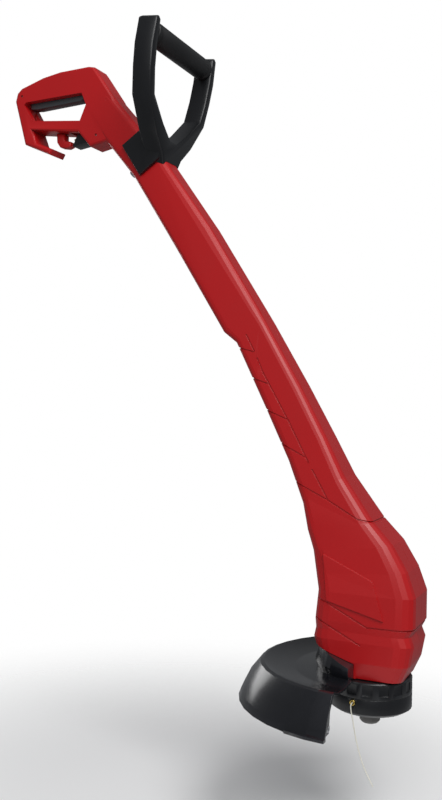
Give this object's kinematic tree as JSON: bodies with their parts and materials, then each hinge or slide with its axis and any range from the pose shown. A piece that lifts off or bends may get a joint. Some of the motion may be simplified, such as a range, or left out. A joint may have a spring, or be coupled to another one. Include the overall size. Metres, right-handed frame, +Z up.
{
  "type": "string trimmer",
  "caption": "Corded garden string trimmer with closed rear handle, loop handle, leaning moulded shaft, half-round guard and tap-fed line head.",
  "frame": {"origin": "middle of the rear handle's top bar, where the rear hand holds it", "axes": "+Z up along the motor shaft, +X forwards from the user to the cutting head, +Y to the user's left; the two body shells meet in the X-Z plane"},
  "size_m": [0.552, 0.2982, 0.8511],
  "materials": {
    "red_plastic": "satin red moulded plastic",
    "black_plastic": "black moulded plastic, from satin to gloss",
    "grey_plastic": "dark grey moulded plastic",
    "soft_black": "soft black grip and cable sheath",
    "steel": "plain steel",
    "brass_and_copper": "brass and copper",
    "nylon": "off-white nylon line"
  },
  "bodies": {
    "body": {"housing_right": "red_plastic", "housing_left": "red_plastic", "housing_screw_1": "steel", "housing_screw_2": "steel", "housing_screw_3": "steel", "housing_screw_4": "steel", "housing_screw_5": "steel", "housing_screw_6": "steel", "housing_screw_7": "steel", "housing_screw_8": "steel", "housing_screw_9": "steel", "mains_inlet": "black_plastic", "contact_pin_right": "brass_and_copper", "contact_pin_left": "brass_and_copper", "cord_hook": "red_plastic", "trigger_pin": "steel", "trigger_spring": "steel", "switch_body": "black_plastic", "suppressor": "black_plastic", "motor_lead": "soft_black", "lower_bearing_plate": "black_plastic", "upper_bearing_plate": "black_plastic", "lower_bearing": "brass_and_copper", "upper_bearing": "brass_and_copper", "field_core": "steel", "field_coil_lower": "brass_and_copper", "field_coil_upper": "brass_and_copper", "brush_holder_right": "brass_and_copper", "carbon_brush_right": "black_plastic", "brush_holder_left": "brass_and_copper", "carbon_brush_left": "black_plastic", "guard": "black_plastic", "guard_screw_1": "steel", "guard_screw_2": "steel", "line_cutter": "steel", "cutter_screw": "steel", "loop_handle": "black_plastic", "loop_grip": "soft_black", "handle_bolt": "steel", "handle_nut": "steel"},
    "rotor": {"motor_shaft": "steel", "armature_core": "steel", "commutator": "brass_and_copper", "cooling_fan": "black_plastic", "spool_drum": "black_plastic", "drum_cap": "black_plastic", "eyelet": "brass_and_copper", "cutting_line": "nylon", "tap_spring": "steel"},
    "latch_front": {"latch_front": "black_plastic"},
    "latch_rear": {"latch_rear": "black_plastic"},
    "tap_button": {"tap_knob": "grey_plastic"},
    "spool": {"spool": "black_plastic", "wound_line": "nylon"},
    "trigger": {"trigger": "grey_plastic"},
    "plunger": {"switch_plunger": "grey_plastic"}
  },
  "joints": [
    {"name": "rotor_spin", "type": "hinge", "parent": "body", "child": "rotor", "pos_m": [0.43261, 0, -0.68958], "axis": [0, 0, 1], "continuous": true},
    {"name": "tap_press", "type": "slide", "parent": "rotor", "child": "tap_button", "axis": [0, 0, 1], "range_m": [0, 0.005], "stiffness_N_per_m": 1500, "springref_m": -0.004, "deforming": ["tap_spring"]},
    {"name": "spool_turn", "type": "hinge", "parent": "tap_button", "child": "spool", "pos_m": [0.43261, 0, -0.73458], "axis": [0, 0, 1], "continuous": true},
    {"name": "latch_front_press", "type": "hinge", "parent": "rotor", "child": "latch_front", "pos_m": [0.47252, 0.01946, -0.72028], "axis": [-0.4384, 0.8988, 0], "range_deg": [0, 4], "stiffness_Nm_per_rad": 2, "springref_deg": -2.86},
    {"name": "latch_rear_press", "type": "hinge", "parent": "rotor", "child": "latch_rear", "pos_m": [0.39271, -0.01946, -0.72028], "axis": [0.4384, -0.8988, 0], "range_deg": [0, 4], "stiffness_Nm_per_rad": 2, "springref_deg": -2.86},
    {"name": "trigger_press", "type": "hinge", "parent": "body", "child": "trigger", "pos_m": [-0.041, 0, -0.012], "axis": [0, -1, 0], "range_deg": [0, 4], "stiffness_Nm_per_rad": 6, "springref_deg": -4.58, "deforming": ["trigger_spring"]},
    {"name": "plunger_slide", "type": "slide", "parent": "body", "child": "plunger", "axis": [0, 0, 1], "range_m": [0, 0.0042]}
  ],
  "couplings": [
    {"joint": "plunger_slide", "follows": "trigger_press", "m_per_rad": 0.058}
  ]
}
